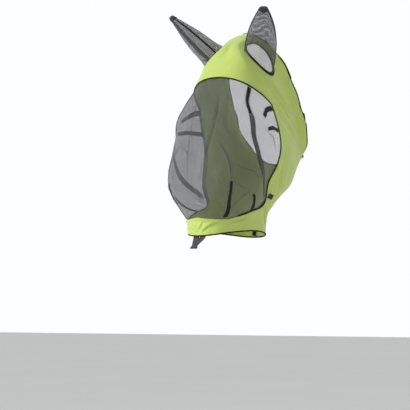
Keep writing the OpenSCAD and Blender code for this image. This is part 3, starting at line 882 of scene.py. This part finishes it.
# The jaw seam: its tape's width and depths, and how many degrees its stitches lie to each side.
JAW_TAPE, JAW_IN, JAW_OUT, JAW_STITCHES = 9 * MM, -1.9 * MM, -0.9 * MM, 1.6


def spread(values, count):
    """A short list stretched to count values."""
    return np.interp(np.linspace(0, 1, count), np.linspace(0, 1, len(values)), values)


def even(line, pitch, pace=PACE):
    """Points at an even spacing along a line."""
    run = lengths_along(line * pace, 0)
    at = np.linspace(0, run[-1], max(int(run[-1] / pitch), 8))
    return np.stack([np.interp(at, run, line[:, k]) for k in range(2)], -1)


def hood_tape(name, line, section, material, closed=True):
    """A tape laid on the fabric along [section, angle] points. Its section is [across, height]
    pairs round it, one list for all the line or one for each of its points."""
    t, angle = line[:, 0], line[:, 1]
    section = np.broadcast_to(section, (len(line),) + section.shape[-2:])
    centre, out = hood_point(t, angle), outward(t, angle)
    if closed:
        forward = np.roll(centre, -1, 0) - np.roll(centre, 1, 0)
    else:
        forward = np.gradient(centre, axis=0)
    across = unit(np.cross(out, unit(forward)))
    rings = (centre[:, None] + across[:, None] * section[..., :1] + out[:, None] * section[..., 1:])
    return tube(name, rings, material, closed, flip=True)


def opening_binding():
    """Thin on the brow, wider on the cheeks, and behind the fabric's edge across the chin."""
    line = loop_points(even(opening_edge(60), 3 * MM))
    width = BROW_TAPE + (SIDE_TAPE - BROW_TAPE) * smooth(line[:, 0], 2.7, 3.6)
    hidden = smooth(line[:, 0], 6.8, 6.98) * smooth(-np.abs(line[:, 1]), -68, -58)
    line[:, 0] += HIDDEN_DROP * hidden
    shape = pillow(1.0, FABRIC + TAPE_GAP, FABRIC + TAPE_GAP + TAPE_THICK)[None]
    section = np.stack([shape[..., 0] * width[:, None],
                        shape[..., 1] - HIDDEN_DEPTH * hidden[:, None]], -1)
    fitted(hood_tape("opening_binding_tape", line, section, BINDING), "hood", "binding", "opening_binding")
    seen = hidden < 0.5
    order = np.roll(np.arange(len(seen)), -int(np.argmax(~seen)))
    t, angle = line[order[seen[order]]].T
    sew("opening_binding_stitches", hood_point(t, angle, FABRIC + ON_TAPE), outward(t, angle),
        2.8 * MM, thickness=TAPE_THREAD)


def edge_binding(name, t, away, count=300):
    """A bead of binding folded over a free edge of the hood, and its stitches."""
    angle = np.linspace(-180, 180, count, endpoint=False)
    edge = hood_point(t, angle)
    down = unit(edge - hood_point(t - away * 0.12, angle))
    out = outward(np.full(count, float(t)), angle)
    x = np.radians(np.arange(0, 360, 24))
    c, n = np.abs(np.cos(x)), np.abs(np.sin(x))
    reach = np.where(np.cos(x) > 0, BEAD_OVER * c ** 0.8, -BEAD_GRIP * c ** 0.6)
    rise = FABRIC / 2 + (FABRIC / 2 + BEAD_RISE) * np.sign(np.sin(x)) * n ** 0.7
    uneven = 1 + 0.06 * np.sin(np.radians(angle) * 23) + 0.05 * np.sin(np.radians(angle) * 37 + 1)
    rings = (edge[:, None] + down[:, None] * (reach * uneven[:, None])[..., None]
             + out[:, None] * rise[:, None])
    fitted(tube(f"{name}_binding_tape", rings, BINDING, True, flip=away > 0), "hood", "binding",
           f"{name}_binding")
    row = edge - down * 1.4 * MM + out * (FABRIC + 0.9 * MM)
    sew(f"{name}_binding_stitches", np.vstack([row, row[:1]]), np.vstack([out, out[:1]]), 3 * MM)


def jaw_seam():
    """A tape behind the joining seam, and a row of stitches on each side of the seam."""
    t = np.linspace(0.14, NOSE_EDGE - 0.2, 90)
    line = np.stack(grid_of(t, 180), -1)
    fitted(hood_tape("jaw_seam_cover", line, pillow(JAW_TAPE, JAW_IN, JAW_OUT), DART, closed=False),
           "hood", "seam_fabric", "jaw_seam_tape")
    for name, side in SIDES:
        angle = 180 - side * JAW_STITCHES
        sew(f"jaw_seam_{name}_stitches", hood_point(t, angle, FABRIC + 0.05 * MM), outward(t, angle),
            2.6 * MM, "stretch_fabric", LIME_THREAD)


opening_binding()
edge_binding("neck", 0, -1)
edge_binding("nose", NOSE_EDGE, 1)
jaw_seam()

# ---------- face mesh ----------

# How far the mesh goes on under the fabric, in u and in v.
UNDER_U, UNDER_V = 1.03, 0.012
# Centre line of each dart as [u, v] points, and its width in mm from start to end.
DARTS = {
    "brow": ([[float(seam_u(v)), v] for v in (0.012, 0.07, 0.12, 0.17, 0.22)], (9.5, 7.5, 6.5, 8.0, 9.5)),
    "temple": ([[0.985, 0.022], [0.77, 0.095], [0.63, 0.18]], (11, 10, 9)),
    "cheek": ([[0.985, 0.135], [0.77, 0.2], [0.65, 0.255]], (10, 9.5, 8.5)),
    "lower": ([[0.975, 0.935], [0.73, 0.81], [0.635, 0.7]], (9.5, 9, 8.5)),
    "nose": ([[0.56, 0.975], [0.42, 0.8], [0.4, 0.655]], (11, 8, 7)),
}
# Under face and crown of a dart tape, from the net, and its rows of stitches as shares of its width.
DART_LOW, DART_HIGH, DART_ROWS = -0.5 * MM, 1.25 * MM, (("inner", -0.34), ("outer", 0.34))
# How far the long seam's band and the eye mesh stand off the centre mesh.
BAND_LIFT, EYE_LIFT = 0.35 * MM, 0.7 * MM


def seam_edge(v, side):
    """u of an edge of the long seam's overlap: side 1 is its outer edge and -1 its inner edge."""
    v = np.clip(v, 0, SEAM_END)
    return seam_u(v) + side * SEAM_WIDTH / 2 / mesh_scale(seam_u(v), v)[..., 0]


def crease_tucks(side):
    """Narrow pinched pleats along the sharp creases, as two more layers of the net."""
    strips = []
    for line, _, _, pleat in CREASES:
        fine = even(along(line, np.linspace(0, 1, 40)), 2.5 * MM, SPAN)
        fade = np.clip(np.sin(math.pi * np.linspace(0.04, 0.96, len(fine))), 0, 1) ** 0.5
        half = beside(fine) * (pleat * fade)[:, None]
        rows = np.stack([fine - half, fine, fine + half], 1)
        for h in (0.5 * MM, -0.45 * MM):
            points = mesh_point(side, rows[..., 0], rows[..., 1], h)
            strips.append(cloth("tuck", points, FACE_NET, flip=side == RIGHT))
    return strips


def centre_mesh():
    rows, columns = ((170, 151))
    v = np.linspace(-UNDER_V, 1 + UNDER_V, rows)[:, None]
    edge = np.where(v < SEAM_END, np.minimum(seam_edge(v, 1), UNDER_U), UNDER_U)
    sheet = cloth("centre_net", mesh_point(LEFT, np.linspace(-1, 1, columns) * edge, v), FACE_NET)
    return merge("centre_face_mesh_net", [sheet] + crease_tucks(LEFT) + crease_tucks(RIGHT))


def eye_mesh(name, side):
    v = np.linspace(-UNDER_V, SEAM_END + 0.015, 110)[:, None]
    low = np.minimum(seam_edge(v, -1), 1.0)
    u = low + (UNDER_U - low) * np.linspace(0, 1, 46)
    lift = EYE_LIFT * (1 - smooth(u, 0.95, 1.0))
    return cloth(f"{name}_eye_mesh_net", mesh_point(side, u, v, lift), FACE_NET, flip=side == RIGHT)


def net_line(side, path, offset, h, count=160):
    """Points and outward directions along a line beside a path of [u, v] points."""
    fine = along(path, np.linspace(0, 1, count))
    at = fine + beside(fine) * np.reshape(offset, (-1, 1))
    p = opening(at[:, 0], at[:, 1])
    return mesh_point(side, at[:, 0], at[:, 1], h), outward(p[:, 0], side * p[:, 1])


def face_seam(name, side):
    """The two meshes' overlap along the long seam, with a row of thick stitches on each edge."""
    path = [[float(seam_u(v)), v] for v in np.linspace(0.225, 0.695, 8)]
    fine = along(path, np.linspace(0, 1, 110))[:, None]
    rows = fine + beside(fine[:, 0])[:, None] * np.linspace(-0.5, 0.5, 9)[:, None] * SEAM_WIDTH
    band = cloth(f"{name}_face_seam_band", mesh_point(side, rows[..., 0], rows[..., 1], BAND_LIFT),
                 SEAM_NET, flip=side == RIGHT)
    fitted(band, "hood", "seam_fabric", f"{name}_face_seam")
    for edge_name, offset in (("inner", -0.5), ("outer", 0.5)):
        line, ups = net_line(side, path, offset * SEAM_WIDTH, 1.0 * MM)
        sew(f"{name}_face_seam_{edge_name}_stitches", line, ups, 1.7 * MM, "seam_fabric",
            thickness=SEAM_THREAD, length=1.05)


def dart(name, side, path, widths, count=60):
    """A flat tape along [u, v] points of the net, stitched along both edges."""
    fine = along(path, np.linspace(0, 1, count))
    width = spread(widths, count) * MM
    section = pillow(1.0, DART_LOW, DART_HIGH, 11)
    at = fine[:, None] + beside(fine)[:, None] * section[:, :1] * width[:, None, None]
    tape = tube(f"{name}_dart_tape", mesh_point(side, at[..., 0], at[..., 1], section[:, 1]), DART,
                flip=side == LEFT)
    fitted(tape, "hood", "seam_fabric", f"{name}_dart")
    for edge_name, share in DART_ROWS:
        line, ups = net_line(side, path, spread(widths, 160) * MM * share, DART_HIGH + 0.03 * MM)
        sew(f"{name}_dart_{edge_name}_stitches", line, ups, 2.4 * MM, "seam_fabric")


face_net = fitted(centre_mesh(), "hood", "fine_mesh", "centre_face_mesh")
for name, side in SIDES:
    eye_net = fitted(eye_mesh(name, side), "hood", "fine_mesh", f"{name}_eye_mesh")
    face_seam(name, side)
    for dart_name, (path, widths) in DARTS.items():
        dart(f"{name}_{dart_name}", side, path, widths)

# ---------- ear pieces ----------

# Shares of the sleeve's length where the two bend points are put; nothing bends the sleeve.
EAR_BEND = (0.03, 0.30)
TIP_LOW, TIP_TOP = 0.935, 0.997
# The base band's width, its middle as a share of the ear hole, and the hole's half size.
BASE_WIDTH, BASE_GROW, BASE_RADIUS = 6.2 * MM, 1.02, 34 * MM
# Turn round the sleeve of each side seam's binding, and of the outer one's rows of stitches.
OUTER_TURN, INNER_TURN, STITCH_ROWS = 6, 178, (("front", 11), ("back", 1))


def ear_piece(obj, side, name, slot, *nodes):
    """Bakes an ear piece's transform and hides the CAD parts it stands for; nothing bends it about the
    tilt line.
    """
    root, axis, _, _ = ear_frame(side)
    return fitted(obj, f"{name}_ear", slot, *nodes, bend=[root + axis * EAR_LENGTH * x for x in EAR_BEND])


def sleeve_tape(name, side, turn, width, high, low=0.1 * MM):
    """A tape folded over an edge of the sleeve."""
    v = np.linspace(0, 0.975, 90)
    across = np.linalg.norm(sleeve_skin(side, turn + 1, v) - sleeve_skin(side, turn - 1, v), axis=-1) / 2
    section = pillow(1.0, low, high, 11)
    fit = 1 - 0.45 * smooth(v, 0.7, 1)
    turns = turn + section[:, 0] * (width * fit / across)[:, None]
    return tube(name, sleeve(side, turns, v[:, None], section[:, 1]), BINDING, flip=side == LEFT)


def tip_patch(name, side):
    """Folded cloth over the blunt tip, with a slanting lower edge."""
    turns = np.linspace(0, 360, 72, endpoint=False)
    a = np.radians(turns)
    low = TIP_LOW + 0.016 * np.sin(a - 0.6) + 0.007 * np.sin(3 * a)
    share = np.linspace(0, 1, 9)[:, None]
    h = 0.9 * MM + 0.35 * MM * np.sin(5 * a + 4 * share) * (1 - share)
    rings = list(sleeve(side, turns, low + (TIP_TOP - low) * share, h))
    top = rings[-1]
    axis = ear_frame(side)[1]
    for shrink, rise in ((0.85, 0.5), (0.5, 0.8), (0.02, 0.9)):
        rings.append(top.mean(0) + (top - top.mean(0)) * shrink + axis * rise * MM)
    return tube(name, np.stack(rings), SEAM_NET, flip=side == LEFT)


def ear_nets(name, side):
    v = np.linspace(0, 0.99, 110)[:, None]
    for half_name, first, last in (("front", 0, 180), ("back", 180, 360)):
        net = cloth(f"{name}_ear_{half_name}_mesh_net", sleeve(side, np.linspace(first, last, 61), v),
                    EAR_NET, flip=side == RIGHT)
        ear_piece(net, side, name, "fine_mesh", f"{name}_ear_{half_name}_mesh")


def ear_bindings(name, side):
    """The bindings of both side seams, the tip, and two rows of stitches on the outer seam."""
    outer = sleeve_tape(f"{name}_ear_outer_binding", side, OUTER_TURN, 10 * MM, 1.1 * MM)
    inner = sleeve_tape(f"{name}_ear_inner_binding", side, INNER_TURN, 4.5 * MM, 0.9 * MM)
    ear_piece(outer, side, name, "binding", f"{name}_ear_edge_binding")
    ear_piece(inner, side, name, "binding")
    ear_piece(tip_patch(f"{name}_ear_tip_patch", side), side, name, "binding", f"{name}_ear_tip_cap")
    v = np.linspace(0.03, 0.96, 200)
    for row_name, turn in STITCH_ROWS:
        line = sleeve(side, turn + 0.8 * smooth(v, 0.6, 1) * (turn - OUTER_TURN), v, 1.05 * MM)
        ups = unit(line - sleeve(side, turn, v, -1 * MM))
        ear_piece(stitch_line(f"{name}_ear_outer_{row_name}_stitches", line, ups, 2.6 * MM, FINE_THREAD,
                              BLACK_THREAD), side, name, "binding")


def ear_base(name, side):
    """The band round the ear hole, which stays with the hood, and its stitches."""
    a = np.linspace(0, 360, 120, endpoint=False)[:, None]
    section = pillow(BASE_WIDTH, FABRIC + 0.2 * MM, FABRIC + 2.0 * MM, 11)
    ring = ear_hole(side, a, section[:, 1], BASE_GROW + section[:, 0] / BASE_RADIUS)
    fitted(tube(f"{name}_ear_base_binding", ring, BINDING, True, flip=side == RIGHT), "hood", "binding",
           f"{name}_ear_base_band")
    turns = np.linspace(0, 360, 121)
    line = ear_hole(side, turns, FABRIC + 2.05 * MM, 1.045)
    sew(f"{name}_ear_base_stitches", line, unit(line - ear_hole(side, turns, 0.0, 1.045)), 2.8 * MM)


for name, side in SIDES:
    ear_nets(name, side)
    ear_bindings(name, side)
    ear_base(name, side)

# ---------- label ----------

# Where the label is along the opening's side, how far it stands off the cheek, and its slant.
LABEL_AT = 0.7
LABEL_WIDTH = 12 * MM
LABEL_LEAN = math.radians(55)
LABEL_SLANT = math.radians(22)
LABEL_STEPS = 15
LABEL_INSET = 1.1 * MM


def label_frame():
    """Root of the label, its direction, the one along its root, and the one through it."""
    t, angle = along(SIDE, LABEL_AT)
    axis = unit(skin(*along(SIDE, LABEL_AT + 0.03)) - skin(*along(SIDE, LABEL_AT - 0.03)))
    out = outward(t, angle)
    rear = unit(np.cross(out, axis))
    lie = rear * math.cos(LABEL_LEAN) + np.cross(axis, rear) * math.sin(LABEL_LEAN)
    thick = np.cross(lie, axis)
    c, n = math.cos(LABEL_SLANT), math.sin(LABEL_SLANT)
    root = skin(t, angle) + out * (FABRIC + 2.7 * MM) + lie * LABEL_WIDTH / 2 * n
    return root, lie * c + axis * n, axis * c - lie * n, thick


def label():
    """Small folded satin tab with a stitched border. It carries no mark."""
    root, lie, axis, thick = label_frame()
    count = LABEL_STEPS
    s = np.linspace(0.2 * MM, LABEL_LENGTH, count)
    w = np.linspace(-LABEL_WIDTH / 2, LABEL_WIDTH / 2, count)
    curl = 0.7 * MM * (s / LABEL_LENGTH) ** 2
    layers = []
    for h, swell in ((0.05 * MM, -0.1 * MM), (0.95 * MM, 0.25 * MM)):
        puff = swell * np.sin(math.pi * s / LABEL_LENGTH)
        layers.append(root + lie * s[:, None, None] + axis * w[None, :, None]
                      + thick * (h + curl + puff)[:, None, None])
    size = count * count
    low, high = grid_faces(count, count, flip=True), grid_faces(count, count) + size
    ids = np.arange(size).reshape(count, count)
    border = np.concatenate([ids[:-1, 0], ids[-1, :-1], ids[:0:-1, -1], ids[0, :0:-1]])
    after = np.roll(border, -1)
    rim = np.stack([border + size, after + size, after, border], -1)
    uv = np.tile(np.stack(np.meshgrid(s, w, indexing="ij"), -1).reshape(-1, 2), (2, 1))
    tab = make("side_label_tab", np.stack(layers), np.concatenate([low, high, rim]).tolist(), SATIN, uv)
    fitted(tab, "label", "label", "side_label")
    near = LABEL_INSET / LABEL_LENGTH * (count - 1)
    far = count - 1 - near
    corners = np.array([[near, near], [far, near], [far, far], [near, far], [near, near]])
    dense = np.concatenate([np.linspace(a, b, 20, endpoint=False) for a, b in zip(corners, corners[1:])])
    steps = np.arange(count)
    seam = lookup(steps, steps, layers[1] + thick * 0.1 * MM, dense)
    stitches = stitch_line("side_label_stitches", seam, np.broadcast_to(thick, seam.shape), 1.5 * MM,
                           0.16 * MM, BLACK_THREAD)
    fitted(stitches, "label", "label")


label()

# ---------- webbing loop ----------

LOOP_ANGLES = (6, -10)
LOOP_DROP, LOOP_SWAY, LOOP_BELOW = 22 * MM, 15 * MM, 4 * MM
# Where the two ends lie behind the nose band: below, and at their upper ends.
END_DEPTHS, END_TOPS = (4.0 * MM, 5.6 * MM), (5.4 * MM, 7.2 * MM)
UP = np.array([0, 0, 1.0])


def loop_frame():
    """Out of the nose, across it, the loop's two roots, and the middle of its hinge line."""
    o = outward(NOSE_EDGE, sum(LOOP_ANGLES) / 2)
    out = unit(np.array([o[0], o[1], 0]))
    roots = [skin(NOSE_EDGE, a) - out * 2 * MM - UP * LOOP_BELOW for a in LOOP_ANGLES]
    return out, np.cross(out, UP), roots, (roots[0] + roots[1]) / 2 + UP * MM


def webbing(name, line, count):
    """Flat webbing along a line of points, with rounded selvedges."""
    side = loop_frame()[1]
    path = along(line, np.linspace(0, 1, count))
    thick = unit(np.cross(unit(np.gradient(path, axis=0)), side))
    section = pillow(WEBBING_WIDTH, -0.65 * MM, 0.75 * MM, 13)
    rings = path[:, None] + side * section[:, :1] + thick[:, None] * section[:, 1:]
    return tube(name, rings, WEBBING, flip=True)


def nose_loop():
    """The folded loop, and its two ends sewn behind the nose band."""
    out, side, roots, pivot = loop_frame()
    low = pivot - UP * LOOP_DROP + side * LOOP_SWAY
    a, b = roots[0] + out * 0.9 * MM, roots[1] - out * 0.9 * MM
    tops = [skin(NOSE_EDGE - 0.12, angle) - out * depth for angle, depth in zip(LOOP_ANGLES, END_DEPTHS)]
    line = [tops[0], a, (a + low) / 2 + out * 1.2 * MM, low + out * 1.6 * MM, low - UP * 2.4 * MM,
            low - out * 1.6 * MM, (b + low) / 2 - out * 1.2 * MM, b, tops[1]]
    fitted(webbing("webbing_loop_strap", line, 110), "loop", "webbing", "webbing_loop",
           bend=(pivot + UP * 3 * MM, pivot - UP * 9 * MM))
    ends = []
    for angle, depth, top in zip(LOOP_ANGLES, END_TOPS, tops):
        high = skin(NOSE_EDGE - 0.55, angle) - out * depth
        ends.append(webbing("loop_end", [top - out * 0.6 * MM, (top + high) / 2, high], 12))
    fitted(merge("webbing_loop_ends_sewn", ends), "hood", "webbing", "webbing_loop_ends")


nose_loop()

# ---------- floor, light and camera ----------

FLOOR_DROP, FLOOR_SIZE = 0.9, 60.0
ROOM_LEVEL = 0.55


def floor():
    """A plain pale floor, far below the mask."""
    z = cad_box[0].z - FLOOR_DROP
    half = FLOOR_SIZE / 2
    corners = [(-half, -half, z), (half, -half, z), (half, half, z), (-half, half, z)]
    n = Nodes("floor")
    tone = n.mix(n.noise(0.8), rgb(0.80, 0.80, 0.79), rgb(0.84, 0.84, 0.83))
    material = n.finish(Base_Color=tone, Roughness=0.9)
    make("floor", corners, [(0, 1, 2, 3)], material, [(0, 0), (1, 0), (1, 1), (0, 1)])


def aimed(name, data, place, target):
    """A light or the camera, at a place and pointed at a target."""
    obj = bpy.data.objects.new(name, data)
    obj.location = place
    obj.rotation_mode = "QUATERNION"
    obj.rotation_quaternion = (target - Vector(place)).to_track_quat("-Z", "Y")
    bpy.context.scene.collection.objects.link(obj)
    return obj


def softbox(name, place, size, power):
    """A round soft light aimed at the mask."""
    light = bpy.data.lights.new(name, "AREA")
    light.shape = "DISK"
    light.size = size
    light.energy = power
    aimed(name, light, place, MASK_MIDDLE)


MASK_MIDDLE = Vector((0.0, -0.02, -0.22))
VIEW_AZIMUTH, VIEW_ELEVATION, VIEW_DISTANCE = math.radians(31), math.radians(-6), 4.0
VIEW_TARGET = Vector((0, -0.060, -0.200))
# The object sits above and a little right of the picture's middle, so the camera aims below it.
AIM_LEFT, AIM_DOWN = 0.0442, 0.2010
FRAME_WIDTH = 0.943
SENSOR = 36.0


def camera():
    """The photograph's view: below the mask, from the horse's front left."""
    back = Vector((math.sin(VIEW_AZIMUTH) * math.cos(VIEW_ELEVATION),
                   -math.cos(VIEW_AZIMUTH) * math.cos(VIEW_ELEVATION), math.sin(VIEW_ELEVATION)))
    right = Vector((math.cos(VIEW_AZIMUTH), math.sin(VIEW_AZIMUTH), 0))
    up = right.cross(-back)
    data = bpy.data.cameras.new("camera")
    data.sensor_width = SENSOR
    data.lens = SENSOR * VIEW_DISTANCE / FRAME_WIDTH
    data.clip_end = 100
    aim = VIEW_TARGET - right * AIM_LEFT - up * AIM_DOWN
    bpy.context.scene.camera = aimed("camera", data, VIEW_TARGET + back * VIEW_DISTANCE, aim)


def backdrop():
    """A white wall behind the object as photographed, and a dimmer room everywhere else."""
    world = bpy.data.worlds.new("studio")
    world.use_nodes = True
    tree = world.node_tree
    background = tree.nodes["Background"]
    background.inputs["Color"].default_value = rgb(0.98, 0.99, 1.0)
    place = tree.nodes.new("ShaderNodeTexCoord")
    # The cosine of the angle from the camera's own direction, so 1 behind the object.
    facing = tree.nodes.new("ShaderNodeVectorMath")
    facing.operation = "DOT_PRODUCT"
    facing.inputs[1].default_value = (-math.sin(VIEW_AZIMUTH), math.cos(VIEW_AZIMUTH), 0)
    ramp = tree.nodes.new("ShaderNodeMapRange")
    ramp.interpolation_type = "SMOOTHSTEP"
    for socket, value in (("From Min", 0.2), ("From Max", 0.9), ("To Min", ROOM_LEVEL), ("To Max", 1.0)):
        ramp.inputs[socket].default_value = value
    tree.links.new(place.outputs["Generated"], facing.inputs[0])
    tree.links.new(facing.outputs["Value"], ramp.inputs["Value"])
    tree.links.new(ramp.outputs[0], background.inputs["Strength"])
    bpy.context.scene.world = world


backdrop()
bpy.context.scene.view_settings.view_transform = "Standard"
floor()
softbox("key", (-1.9, -3.3, 0.7), 2.2, 165)
softbox("fill", (3.2, -1.6, 0.4), 2.6, 30)
softbox("top", (0.2, 0.6, 3.2), 2.6, 30)
camera()
